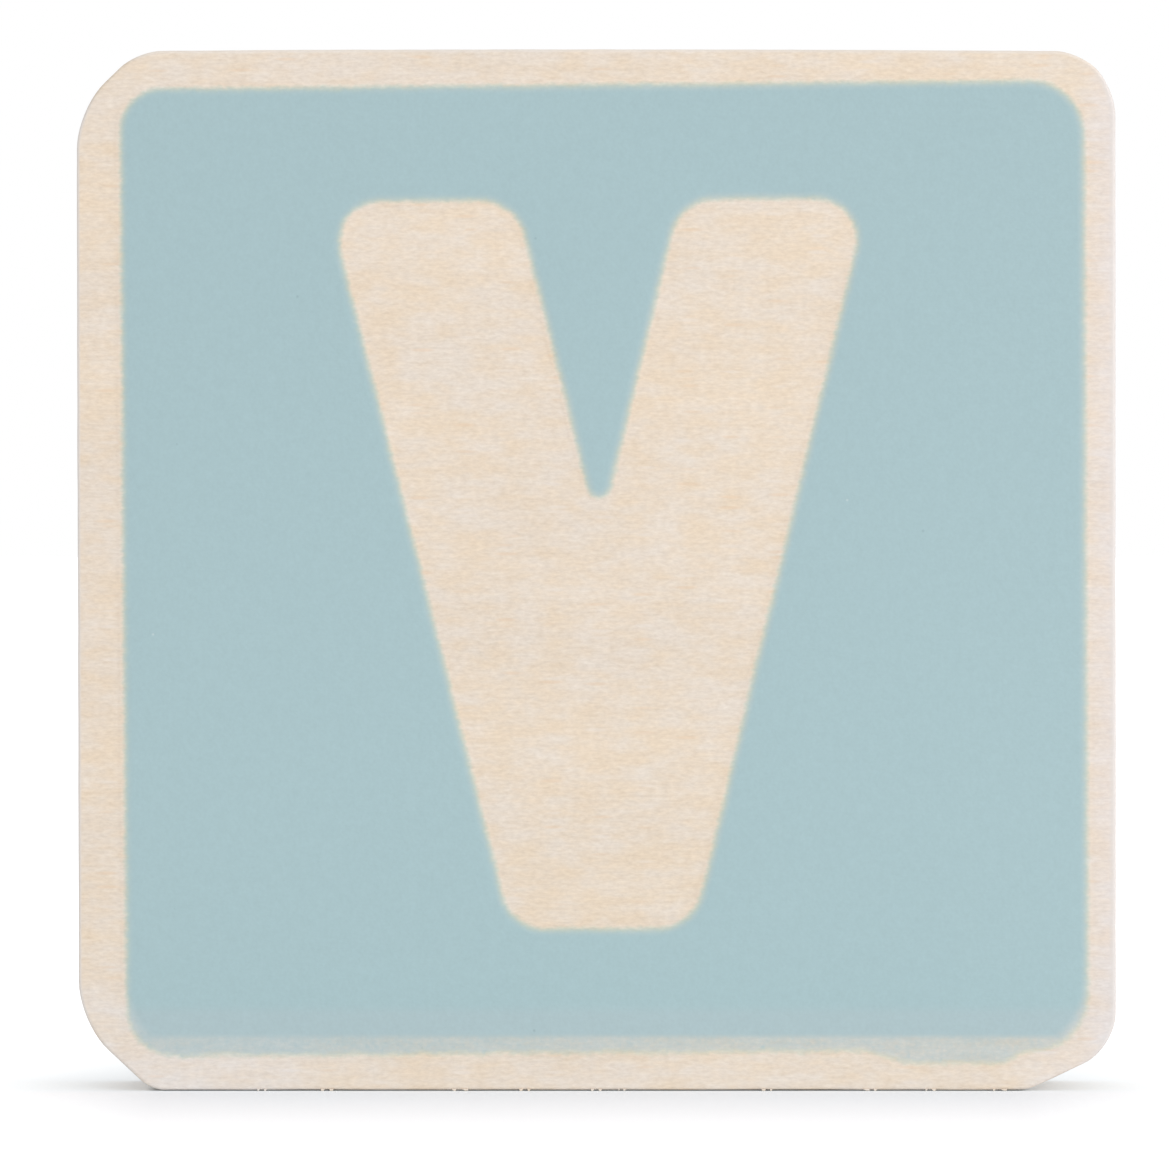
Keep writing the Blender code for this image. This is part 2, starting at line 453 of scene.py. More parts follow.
class Nodes:
    """Adds shader nodes to one material or world and joins them."""

    def __init__(self, owner: Material | bpy.types.World) -> None:
        """Empty the owner's node tree and keep it.

        Args:
            owner: The material or world.
        """
        owner.use_nodes = True
        self.tree = owner.node_tree
        self.tree.nodes.clear()

    def add(self, kind: str, inputs: dict[str | int, object], **settings: object) -> Outputs:
        """Add a node.

        Args:
            kind: The kind of shader node.
            inputs: What goes into its sockets: numbers, or other nodes' outputs.
            settings: Its options.

        Returns:
            The node's outputs.
        """
        node = self.tree.nodes.new(f"ShaderNode{kind}")
        for name, value in settings.items():
            setattr(node, name, value)
        for key, value in inputs.items():
            socket = node.inputs[key]
            if isinstance(value, Socket):
                self.tree.links.new(value, socket)
            else:
                socket.default_value = value
        return node.outputs

    def maths(self, operation: str, *values: object, clamp: bool = False) -> Socket:
        """Work out one sum from numbers and other nodes' outputs."""
        return self.add("Math", dict(enumerate(values)), operation=operation, use_clamp=clamp)[0]

    def times(self, first: object, second: object) -> Socket:
        """Multiply two values."""
        return self.maths("MULTIPLY", first, second)

    def total(self, base: object, *terms: tuple[Socket, float]) -> Socket:
        """Add patterns to a base, each centred on nothing and given a weight.

        Args:
            base: A number or a node's output.
            terms: Patterns, each with its weight.

        Returns:
            The sum.
        """
        for pattern, weight in terms:
            base = self.maths("MULTIPLY_ADD", self.maths("SUBTRACT", pattern, MIDDLE), weight, base)
        return base

    def step(self, value: Socket, start: float, end: float) -> Socket:
        """Rise smoothly from 0 to 1 as a value goes from start to end."""
        inputs = {0: value, 1: start, 2: end}
        return self.add("MapRange", inputs, interpolation_type="SMOOTHSTEP")[0]

    def blend(self, share: object, first: object, second: object, mode: str = "MIX") -> Socket:
        """Mix two colours."""
        inputs = {0: share, 6: first, 7: second}
        return self.add("Mix", inputs, data_type="RGBA", blend_type=mode)[2]

    def place(self, turn: float = 0.0) -> Socket:
        """Give the place on the object in millimetres, turned about Y.

        Args:
            turn: The angle of the turn.

        Returns:
            The place.
        """
        place = self.add("TexCoord", {})["Object"]
        inputs = {"Vector": place, "Scale": [1 / MM] * 3, "Rotation": (0.0, turn, 0.0)}
        return self.add("Mapping", inputs)[0]

    def axes(self, place: Socket) -> Outputs:
        """Split a place or a direction into its X, Y and Z."""
        return self.add("SeparateXYZ", {0: place})

    def stretch(self, place: Socket, lengths: Lengths, seed: float) -> Socket:
        """Measure a place in lengths of its own along X, Y and Z, shifted by a seed.

        Args:
            place: The place, in millimetres.
            lengths: The lengths along X, Y and Z, in millimetres.
            seed: Shifts the place, so that two patterns differ.

        Returns:
            The measured place.
        """
        scale = [1 / length for length in lengths]
        shift = [seed * share for share in NOISE_SHIFT]
        return self.add("Mapping", {"Vector": place, "Scale": scale, "Location": shift})[0]

    def pattern(self, place: Socket, look: Noise, seed: float = 0.0) -> Socket:
        """Draw a noise pattern.

        Args:
            place: The place, in millimetres.
            look: What the noise looks like.
            seed: Shifts it further, for one finish.

        Returns:
            A value around the middle.
        """
        spot = self.stretch(place, look.lengths, look.seed + seed)
        inputs = {"Vector": spot, "Scale": 1.0, "Detail": look.detail, "Roughness": look.roughness}
        return self.add("TexNoise", inputs, noise_dimensions="3D")[0]

    def specks(self, place: Socket, look: Specks, seed: float = 0.0) -> Socket:
        """Draw small scattered specks.

        Args:
            place: The place, in millimetres.
            look: What the specks look like.
            seed: Shifts them further, for one finish.

        Returns:
            1 in the middle of a speck and 0 outside it.
        """
        spot = self.stretch(place, look.spacing, look.seed + seed)
        cells = self.add("TexVoronoi", {"Vector": spot, "Scale": 1.0}, voronoi_dimensions="3D")
        chance = self.add("SeparateColor", {0: cells["Color"]})[0]
        chosen = self.maths("LESS_THAN", chance, look.share)
        return self.times(self.step(cells["Distance"], look.radius, look.core * look.radius), chosen)

    def scatter(self, colour: Socket, place: Socket, look: Specks, seed: float = 0.0) -> Socket:
        """Scatter specks of their own shade over a colour."""
        share = self.times(self.specks(place, look, seed), look.strength)
        return self.blend(share, colour, linear(look.shade))

    def attribute(self, name: str) -> Socket:
        """Read a number that the piece's own mesh holds."""
        return self.add("Attribute", {}, attribute_name=name)["Fac"]

    def surface(
        self, colour: Socket, height: Socket, relief: float, roughness: Socket, sheen: float = 0.25
    ) -> None:
        """Finish a matte material.

        Args:
            colour: Its colour.
            height: Its relief, from 0 to 1.
            relief: The relief's height in metres.
            roughness: Its roughness.
            sheen: How strongly it mirrors.
        """
        bump = self.add("Bump", {"Strength": 1.0, "Distance": relief, "Height": height})[0]
        looks = {"Base Color": colour, "Roughness": roughness, "Normal": bump}
        shader = self.add("BsdfPrincipled", {**looks, "Specular IOR Level": sheen})[0]
        self.add("OutputMaterial", {"Surface": shader})


@dataclass(frozen=True)
class PalePlace:
    """A paler part of the printed face, used for paler wood and for painted light: where it starts and is
    full, in millimetres.
    """

    shade: Colour
    strength: float = 1.0
    x: Span | None = None
    z: Span | None = None

    def share(self, nodes: Nodes, axes: Outputs) -> Socket:
        """Draw how much paler each place is.

        Args:
            nodes: The material's nodes.
            axes: X, Y and Z of the place, in millimetres.

        Returns:
            0 where it is not paler, rising to the full strength.
        """
        share = self.strength
        for axis, span in (("X", self.x), ("Z", self.z)):
            if span:
                share = nodes.times(nodes.step(axes[axis], *span), share)
        return share


@dataclass(frozen=True)
class WoodFinish:
    """Bare sanded wood, with its fibres drawn through the solid."""

    name: str
    pale: Colour
    deep: Colour
    warm: Colour
    grain: Grain = Grain.ACROSS
    seed: float = 0.0
    fibres: Noise = Noise((0.50, 0.20, 0.20), 1.0, roughness=0.6)
    hairs: Noise = Noise((1.5, 0.17, 0.17), 2.0, detail=1.0)
    streaks: Noise = Noise((7.0, 0.6, 0.6), 3.0)
    clouds: Noise = Noise((16.0, 6.0, 6.0), 4.0)
    blush: Noise = Noise((2.4, 1.0, 1.0), 5.0, roughness=0.55)
    tone_weights: tuple[float, ...] = (1.2, 0.4, 0.15, 0.4)
    warmth_weights: Span = (1.2, 0.5)
    warmth_span: Span = (0.1, 0.9)
    height_weights: Span = (1.0, 0.6)
    dashes: tuple[Specks, ...] = (
        Specks((3.0, 0.5, 0.5), 6.0, radius=0.35, share=0.2, strength=0.35, shade=(232, 203, 168)),
        Specks((3.0, 0.5, 0.5), 7.0, radius=0.35, share=0.2, strength=0.35, shade=(241, 233, 225)),
    )
    end_shade: Colour = (206, 184, 158)
    end_span: Span = (0.45, 0.95)
    end_strength: float = 0.55
    relief: float = 0.012 * MM
    roughness: float = 0.62
    roughness_weight: float = 0.12
    bleach: tuple[PalePlace, ...] = ()
    face_span: Span = (-5.6, -5.8)
    # painted light on the arris: paler colours lift the shade of the left and top arris, and a painted
    # highlight whitens the right-hand arris
    raised_left: PalePlace = PalePlace((238, 233, 228), 0.8, x=(-33.4, -34.6))
    raised_top: PalePlace = PalePlace((238, 233, 228), 0.5, z=(69.0, 70.0))
    raised_right: PalePlace = PalePlace((231, 226, 222), 0.8, x=(33.0, 34.6))
    rim_full: float = 0.1
    rim_reach: float = 0.32
    rim_reach_right: float = 0.65

    def paint(self, nodes: Nodes) -> tuple[Socket, Socket]:
        """Draw the wood's colour and relief.

        Args:
            nodes: The material's nodes.

        Returns:
            The colour and the height of the surface.
        """
        place = nodes.place(self.grain.value)
        fibres, hairs, streaks, clouds, blush = (
            nodes.pattern(place, look, self.seed)
            for look in (self.fibres, self.hairs, self.streaks, self.clouds, self.blush)
        )
        tone = nodes.total(MIDDLE, *zip((fibres, hairs, streaks, clouds), self.tone_weights))
        colour = nodes.blend(tone, linear(self.deep), linear(self.pale))
        warmth = nodes.total(MIDDLE, *zip((blush, clouds), self.warmth_weights))
        warmth = nodes.step(warmth, *self.warmth_span)
        colour = nodes.blend(warmth, colour, linear(self.warm), mode="MULTIPLY")
        for look in self.dashes:
            colour = nodes.scatter(colour, place, look, self.seed)
        # paler places of the face; the band along its foot is painted light that lifts the shade near the
        # floor
        if self.bleach:
            axes = nodes.axes(place)
            on_face = self.on_face(nodes, axes)
            for pale in self.bleach:
                share = nodes.times(pale.share(nodes, axes), on_face)
                colour = nodes.blend(share, colour, linear(pale.shade), mode="ADD")
        return colour, nodes.total(MIDDLE, *zip((fibres, hairs), self.height_weights))

    def on_face(self, nodes: Nodes, axes: Outputs) -> Socket:
        """Give 1 on the printed face and its arris, and 0 on the veneer's edges behind them."""
        return nodes.step(axes["Y"], *self.face_span)

    def raise_fibres(self, nodes: Nodes, colour: Socket) -> Socket:
        """Paint light on the face veneer's arris: a highlight on the right, lifted shade on the left and
        top.

        Args:
            nodes: The material's nodes.
            colour: The colour so far.

        Returns:
            The colour with painted light on the arris.
        """
        axes = nodes.axes(nodes.place())
        rim = nodes.attribute("rim")
        on_face = self.on_face(nodes, axes)
        left, top, right = (
            each.share(nodes, axes) for each in (self.raised_left, self.raised_top, self.raised_right)
        )
        for share, reach, raised in (
            (nodes.maths("MAXIMUM", left, top), self.rim_reach, self.raised_left),
            (right, self.rim_reach_right, self.raised_right),
        ):
            near = nodes.times(nodes.step(rim, reach, self.rim_full), on_face)
            colour = nodes.blend(nodes.times(near, share), colour, linear(raised.shade))
        return colour

    def shade_ends(self, nodes: Nodes, colour: Socket) -> Socket:
        """Darken the surfaces where the fibres end.

        Args:
            nodes: The material's nodes.
            colour: The colour so far.

        Returns:
            The colour with darker ends.
        """
        normal = nodes.axes(nodes.add("NewGeometry", {})["Normal"])
        along = nodes.maths("ABSOLUTE", normal["X" if self.grain is Grain.ACROSS else "Z"])
        share = nodes.times(nodes.step(along, *self.end_span), self.end_strength)
        return nodes.blend(share, colour, linear(self.end_shade), mode="MULTIPLY")

    def material(self) -> Material:
        """Make the finish as a material.

        Returns:
            The material.
        """
        material = bpy.data.materials.new(self.name)
        nodes = Nodes(material)
        colour, height = self.paint(nodes)
        colour = self.shade_ends(nodes, colour)
        # painted light on the face veneer's arris
        if self.bleach:
            colour = self.raise_fibres(nodes, colour)
        roughness = nodes.total(self.roughness, (height, self.roughness_weight))
        nodes.surface(colour, height, self.relief, roughness)
        return material


@dataclass(frozen=True)
class GlueFinish:
    """Cured amber glue, darker where it is thicker."""

    name: str = "amber_glue"
    thin: Colour = (203, 174, 135)
    thick: Colour = (172, 134, 92)
    runs: Noise = Noise((1.6, 0.3, 1.6), 11.0, roughness=0.6, detail=3.0)
    relief: float = 0.01 * MM
    roughness: float = 0.5
    roughness_weight: float = 0.25

    def material(self) -> Material:
        """Make the finish as a material.

        Returns:
            The material.
        """
        material = bpy.data.materials.new(self.name)
        nodes = Nodes(material)
        runs = nodes.pattern(nodes.place(), self.runs)
        colour = nodes.blend(runs, linear(self.thin), linear(self.thick))
        roughness = nodes.total(self.roughness, (runs, self.roughness_weight))
        nodes.surface(colour, runs, self.relief, roughness)
        return material


@dataclass(frozen=True)
class InkFinish:
    """Matte screened ink over bare wood, soft at its edges and thin where only one coat lies."""

    name: str
    coat: Coat
    wood: WoodFinish
    full: Colour = (171, 198, 202)
    contrast: float = 0.04
    grit: Noise = Noise((0.24, 0.24, 0.24), 31.0, roughness=0.6)
    mottle: Noise = Noise((0.8, 0.8, 0.8), 35.0, roughness=0.6)
    drift: Noise = Noise((14.0, 14.0, 14.0), 32.0)
    # painted light: the ink is painted lighter towards the bottom and darker towards the top, offsetting
    # the shade near the floor
    downward_span: Span = (70.0, 0.0)
    tone_weights: tuple[float, ...] = (0.6, 0.35, 0.1, 0.28)
    foot_blush: Colour = (45, 0, 0)
    foot_span: Span = (6.0, 5.0)
    dust: tuple[Specks, ...] = (
        Specks((3.4, 3.4, 3.4), 33.0, radius=0.035, share=0.35, strength=0.35, shade=(225, 232, 230)),
        Specks((4.2, 4.2, 4.2), 34.0, radius=0.032, share=0.35, strength=0.30, shade=(120, 150, 158)),
    )
    edge_noise: Noise = Noise((0.6, 0.35, 0.35), 21.0, roughness=0.6)
    soft_edge: float = 0.44
    soft_weight: float = 0.12
    ragged_edge: float = 0.32
    ragged_weights: Span = (0.4, 0.35)
    oil_stain: Colour = (250, 255, 248)
    oil_strength: float = 3.0
    thin_left: float = 0.74
    thin_right: float = 0.565
    thin_span: Span = (-22.0, 10.0)
    thin_mottle: Noise = Noise((0.32, 0.24, 0.24), 22.0, roughness=0.6)
    thin_patches: Noise = Noise((3.5, 1.2, 1.2), 23.0)
    thin_weights: Span = (0.5, 0.25)
    beads: Specks = Specks((0.7, 0.7, 0.7), 24.0, radius=0.34, share=0.4, strength=0.25)
    bead_span: Span = (-0.9, 0.0)
    relief: float = 0.010 * MM
    roughness: float = 0.6
    roughness_weight: float = 0.10

    def material(self) -> Material:
        """Make the finish as a material.

        Returns:
            The material.
        """
        material = bpy.data.materials.new(self.name)
        nodes = Nodes(material)
        place = nodes.place()
        wood, wood_height = self.wood.paint(nodes)
        ink, ink_height = self.paint(nodes, place)
        edge_noise = nodes.pattern(place, self.edge_noise)
        edge, strength = self.thin_cover(nodes, place, edge_noise)
        cover = nodes.maths("MULTIPLY", edge, strength, clamp=True)
        if self.coat is Coat.SECOND:
            distance = nodes.total(nodes.attribute("second_edge"), (edge_noise, self.soft_weight))
            full = nodes.step(distance, self.soft_edge, -self.soft_edge)
            rest = nodes.times(nodes.maths("SUBTRACT", 1.0, full), cover)
            cover = nodes.maths("ADD", full, rest, clamp=True)
        colour = nodes.blend(cover, wood, ink)
        fringe = nodes.times(edge, nodes.maths("SUBTRACT", 1.0, edge))
        stain = nodes.times(fringe, self.oil_strength)
        colour = nodes.blend(stain, colour, linear(self.oil_stain), mode="MULTIPLY")
        height = nodes.maths("MULTIPLY_ADD", ink_height, MIDDLE, nodes.times(wood_height, MIDDLE))
        roughness = nodes.total(self.roughness, (ink_height, self.roughness_weight))
        nodes.surface(colour, height, self.relief, roughness)
        return material

    def paint(self, nodes: Nodes, place: Socket) -> tuple[Socket, Socket]:
        """Draw the full ink's colour and relief.

        Args:
            nodes: The material's nodes.
            place: The place, in millimetres.

        Returns:
            The colour and the height of the surface.
        """
        grit, mottle, drift = (
            nodes.pattern(place, look) for look in (self.grit, self.mottle, self.drift)
        )
        light = tuple(min(WHITE, round(value * (1 + self.contrast))) for value in self.full)
        dark = tuple(round(value * (1 - self.contrast)) for value in self.full)
        height = nodes.axes(place)["Z"]
        # painted light: lighter towards the bottom, against the shade near the floor
        painted_light_below = nodes.step(height, *self.downward_span)
        tone = nodes.total(MIDDLE, *zip((grit, mottle, drift, painted_light_below), self.tone_weights))
        colour = nodes.blend(tone, linear(dark), linear(light))
        foot = nodes.step(height, *self.foot_span)
        colour = nodes.blend(foot, colour, linear(self.foot_blush), mode="ADD")
        for look in self.dust:
            colour = nodes.scatter(colour, place, look)
        return colour, grit

    def thin_cover(self, nodes: Nodes, place: Socket, edge_noise: Socket) -> tuple[Socket, Socket]:
        """Draw the first coat alone: weaker to the right, stronger in beads along its lower edge.

        Args:
            nodes: The material's nodes.
            place: The place, in millimetres.
            edge_noise: What makes its edge uneven.

        Returns:
            1 where the coat lies and 0 where it does not, and how much of the wood it covers.
        """
        rightward = nodes.step(nodes.axes(place)["X"], *self.thin_span)
        weaker = self.thin_right - self.thin_left
        strength = nodes.maths("MULTIPLY_ADD", rightward, weaker, self.thin_left)
        mottle = nodes.pattern(place, self.thin_mottle)
        patches = nodes.pattern(place, self.thin_patches)
        strength = nodes.total(strength, *zip((mottle, patches), self.thin_weights))
        first_edge = nodes.attribute("first_edge")
        distance = nodes.total(first_edge, *zip((edge_noise, mottle), self.ragged_weights))
        edge = nodes.step(distance, self.ragged_edge, -self.ragged_edge)
        near = nodes.step(first_edge, *self.bead_span)
        beads = nodes.times(nodes.specks(place, self.beads), near)
        return edge, nodes.maths("MULTIPLY_ADD", beads, self.beads.strength, strength)


@dataclass(frozen=True)
class SlantCut:
    """A tile corner cut off at a slant and rounded into the side and into the end."""

    up: float
    across: float
    side_radius: float
    end_radius: float


@dataclass
class Board:
    """The plywood: nine crossed plies and the glue film in each joint between them."""

    left_bulge: float = 0.03 * MM
    left_lean: float = 0.14 * MM
    right_bulge: float = 0.15 * MM
    right_lean: float = 0.08 * MM
    top_bulge: float = 0.04 * MM
    top_crown: float = 0.138 * MM
    top_left: SlantCut = SlantCut(4.0 * MM, 4.1 * MM, 6.2 * MM, 4.0 * MM)
    top_right: SlantCut = SlantCut(2.5 * MM, 2.5 * MM, 4.4 * MM, 4.0 * MM)
    bottom_left: SlantCut = SlantCut(4.6 * MM, 4.9 * MM, 6.3 * MM, 2.2 * MM)
    bottom_right: SlantCut = SlantCut(2.85 * MM, 5.95 * MM, 3.8 * MM, 2.2 * MM)
    spare: float = 2.0 * MM
    longest_edge: float = 0.9 * MM
    sanding: float = 0.05 * MM
    long_wear: Wave = Wave(14 * MM, 0.35)
    short_wear: Wave = Wave(3 * MM, 0.15)
    ply_sanding: float = 0.025 * MM
    ply_wear: Wave = Wave(1.8 * MM, 0.5)
    foot_height: float = 0.8 * MM
    foot_spared: float = 0.8
    veneer_lift: float = 0.08 * MM
    lift_share: float = 0.8
    lift_wear: Wave = Wave(5 * MM, 0.4)
    arris_ease: float = 0.20 * MM
    arris_segments: int = 5
    rim_rings: tuple[float, ...] = (0.08 * MM, 0.10 * MM, 0.14 * MM)
    torn_size: tuple[float, ...] = (0.3 * MM, 0.05 * MM, 0.14 * MM)
    torn_chance: Wave = Wave(0.7, 1.0, 41.0)
    torn_spread: float = 1.2
    torn_apart: float = 0.6
    torn_gap: float = 0.1 * MM
    torn_taper: tuple[float, ...] = (0.45, 0.5, 1)
    torn_slip: Span = (0.5, 0.3)
    torn_places: tuple[float, ...] = (-22.5, -18.1, -9.2, -4.7, 0.1, 1.8, 11.7, 18.7, 22.6, 27.2)
    joint_ease: float = 0.03 * MM
    glue_set_back: float = 0.03 * MM
    glue_seed: float = 20.0
    plies: tuple[tuple[str, str], ...] = (
        ("front_face_veneer", "face_veneer"),
        ("front_cross_band", "upright_grain_ply"),
        ("front_inner_ply", "across_grain_ply"),
        ("front_inner_band", "upright_grain_ply"),
        ("core_ply", "across_grain_ply"),
        ("back_inner_band", "upright_grain_ply"),
        ("back_inner_ply", "across_grain_ply"),
        ("back_cross_band", "upright_grain_ply"),
        ("back_face_veneer", "back_veneer"),
    )

    def outline(self) -> list[tuple[Vector, float]]:
        """Give the corners of the sawn outline.

        Returns:
            X and Z of each corner with its radius, anticlockwise as seen from the front.
        """
        low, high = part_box("core_ply")
        left, right = low.x - self.left_bulge, high.x + self.right_bulge
        top = high.z + self.top_bulge

        def on_side(side: float, lean: float, z: float, across: float = 0.0) -> Vector:
            """Give the place at a height on a side that leans to the right towards the foot."""
            return Vector((side + lean * (1 - z / top) + across, z))

        low_left, low_right = self.bottom_left, self.bottom_right
        high_left, high_right = self.top_left, self.top_right
        return [
            (on_side(left, self.left_lean, 0, low_left.across), low_left.end_radius),
            (on_side(right, self.right_lean, 0, -low_right.across), low_right.end_radius),
            (on_side(right, self.right_lean, low_right.up), low_right.side_radius),
            (Vector((right, top - high_right.up)), high_right.side_radius),
            (Vector((right - high_right.across, top)), high_right.end_radius),
            (Vector((left + high_left.across, top)), high_left.end_radius),
            (on_side(left, self.left_lean, top - high_left.up), high_left.side_radius),
            (on_side(left, self.left_lean, low_left.up), low_left.side_radius),
        ]

    def saw_blank(self) -> Piece:
        """Saw one ply out of an oversize sheet: eight cuts, eight round corners and a crown.

        Returns:
            The blank that every ply and glue film is copied from.
        """
        low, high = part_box("core_ply")
        size = high - low
        blank = start_piece(
            "ply_blank",
            bpy.ops.mesh.primitive_cube_add,
            Vector((size.x + self.spare, size.y, size.z + self.spare)),
            Vector((0, 0, size.z / 2)),
        )
        corners = self.outline()
        places = [place for place, _ in corners]
        with edit_mode(blank):
            for start, end in zip(places, places[1:] + places[:1]):
                cut_away(blank, start, end)
            for (place, radius), turn in zip(corners, turns(places)):
                round_corner(blank, place, turn, radius)
            divide_outline(blank, self.longest_edge)
            bpy.ops.mesh.select_all(action="SELECT")
            bpy.ops.mesh.normals_make_consistent(inside=False)
        for vert in blank.data.vertices:
            across = 2 * vert.co.x / size.x
            vert.co.z -= self.top_crown * across**2 * vert.co.z / size.z
        return blank

    def sand(self, layer: Piece, seed: float, depth: float = 0.0, lift: float = 0.0) -> None:
        """Wear a layer's outline down unevenly, as a sanding disc does.

        Args:
            layer: The ply or glue film.
            seed: Makes this layer's own unevenness.
            depth: How far the whole outline is set back.
            lift: How far its lower edge is worn off the floor.
        """
        for vert in layer.data.vertices:
            outward = Vector((vert.normal.x, 0, vert.normal.z)).normalized()
            flat = Vector((vert.co.x, 0, vert.co.z))
            shared = MIDDLE + self.long_wear.at(flat) + self.short_wear.at(flat)
            own = MIDDLE + self.ply_wear.at(flat, seed)
            wear = depth + self.sanding * shared + self.ply_sanding * own
            foot = max(0.0, 1 - flat.z / self.foot_height)
            vert.co -= outward * wear * (1 - self.foot_spared * foot)
            vert.co.z += lift * foot * (self.lift_share + self.lift_wear.at(flat, seed))

    def ease_rims(self, ply: Piece, outer_sign: int) -> None:
        """Round a ply's rims over: a face veneer's outer arris by hand, the others barely.

        Args:
            ply: The ply.
            outer_sign: -1 if its front is an outer face, 1 if its back is, 0 if neither is.
        """
        depths = [vert.co.y for vert in ply.data.vertices]
        with edit_mode(ply):
            for sign, rim in ((-1, min(depths)), (1, max(depths))):
                pick(ply, Element.EDGES, lambda edge: all(abs(v.co.y - rim) < TINY for v in edge.verts))
                outer = sign == outer_sign
                bpy.ops.mesh.bevel(
                    offset=self.arris_ease if outer else self.joint_ease,
                    segments=self.arris_segments if outer else 2,
                    profile=ROUND_PROFILE,
                )
                if outer:
                    pick(
                        ply,
                        Element.FACES,
                        lambda face: len(face.verts) > QUAD and face.normal.y * sign > FACING,
                    )
                    for width in self.rim_rings:
                        bpy.ops.mesh.inset(thickness=width, use_even_offset=True)

    def cut_layer(self, blank: Piece, name: str, front: float, back: float) -> Piece:
        """Copy the blank at a layer's own thickness and place.

        Args:
            blank: The sawn blank, centred on Y.
            name: The layer's name.
            front: Y of its front.
            back: Y of its back.

        Returns:
            The layer.
        """
        only(blank)
        bpy.ops.object.duplicate(linked=False)
        layer = named(name)
        thickness = max(vert.co.y for vert in layer.data.vertices) * 2
        thinning = (1, (back - front) / thickness, 1)
        with edit_mode(layer):
            bpy.ops.mesh.select_all(action="SELECT")
            bpy.ops.transform.resize(value=thinning, center_override=(0, 0, 0))
            bpy.ops.transform.translate(value=(0, (front + back) / 2, 0))
        return layer

    def fray(self, veneer: Piece) -> None:
        """Leave torn fibres hanging from the front veneer's lower edge, where the saw came out.

        Args:
            veneer: The front veneer.
        """
        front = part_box("front_face_veneer")[0].y
        wide, deep, long = self.torn_size
        aside, raised = self.torn_slip
        scraps = []
        for x, side in product(self.torn_places, (-1, 1)):
            chance = self.torn_chance.at(Vector((x, side, 0)))
            width = wide * (1 + self.torn_spread * chance)
            size = Vector((width, deep, long))
            along = x * MM + side * (self.torn_apart * width + self.torn_gap)
            place = Vector((along, front + size.y / 4, size.z / 2 + 2 * TINY))
            scrap = start_piece("torn_fibre", bpy.ops.mesh.primitive_cube_add, size, place)
            with edit_mode(scrap):
                pick(scrap, Element.FACES, lambda face: face.normal.z < -FACING)
                bpy.ops.transform.resize(value=self.torn_taper, center_override=place)
                slip = Vector((aside * chance * width, -size.y / 2, raised * abs(chance) * size.z))
                bpy.ops.transform.translate(value=slip)
            scraps.append(scrap)
        only(veneer)
        for scrap in scraps:
            scrap.select_set(True)
        bpy.ops.object.join()

    def build(self, finishes: dict[str, Material]) -> None:
        """Build and dress the plies and the glue between them.

        Args:
            finishes: The material of each slot.
        """
        blank = self.saw_blank()
        outline = front_loop(blank)
        outer_signs = {0: -1, len(self.plies) - 1: 1}
        joint = 0.0
        for index, (node, slot) in enumerate(self.plies):
            low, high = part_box(node)
            if index:
                glue = self.cut_layer(blank, f"glue_line_{index}_flush", joint, low.y)
                self.sand(glue, self.glue_seed + index, self.glue_set_back)
                hand_over(glue, f"glue_line_{index}", finishes["glue"])
            ply = self.cut_layer(blank, f"{node}_sanded", low.y, high.y)
            self.sand(ply, index + 1.0, lift=0.0 if index else self.veneer_lift)
            self.ease_rims(ply, outer_signs.get(index, 0))
            if index == 0:
                self.fray(ply)
                places = np.array([vert.co.xz for vert in ply.data.vertices])
                store(ply, "rim", np.maximum(0, -edge_distance(places, outline)))
            hand_over(ply, node, finishes[slot])
            joint = high.y
        bpy.data.objects.remove(blank, do_unlink=True)


